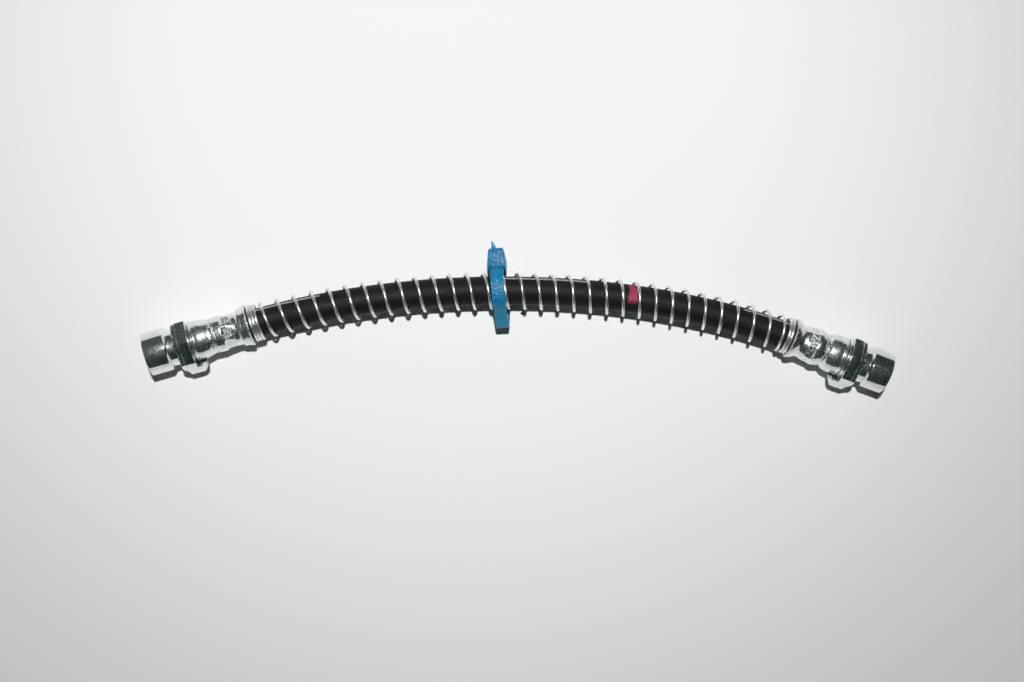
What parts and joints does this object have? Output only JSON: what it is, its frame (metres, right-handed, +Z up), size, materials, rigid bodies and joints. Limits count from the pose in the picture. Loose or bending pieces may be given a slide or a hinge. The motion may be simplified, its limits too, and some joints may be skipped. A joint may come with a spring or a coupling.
{
  "type": "brake hose",
  "caption": "Short rubber brake hose with a wire spring guard, a crimped female fitting with a keyed hexagon flange at each end, and a cable tie looped round it.",
  "frame": {"origin": "on the surface it lies on, under the middle of its box", "axes": "+X from the left head to the right head, +Y the way the hose bows, +Z up from the surface it lies on"},
  "size_m": [0.2802, 0.053, 0.0185],
  "materials": {
    "rubber": "satin black rubber with a fine pale line and a crimson paint mark",
    "fitting_steel": "bright zinc plated steel with fine turning marks",
    "ferrule_steel": "bright zinc plated steel, drawn and crimped",
    "spring_wire": "drawn spring wire, bright zinc",
    "tie_nylon": "satin blue nylon"
  },
  "bodies": {
    "root": {"hose": "rubber", "left_fitting": "fitting_steel", "right_fitting": "fitting_steel", "left_ferrule": "ferrule_steel", "right_ferrule": "ferrule_steel", "left_insert": "fitting_steel", "right_insert": "fitting_steel", "spring_guard": "spring_wire", "cable_tie": "tie_nylon"}
  },
  "joints": []
}
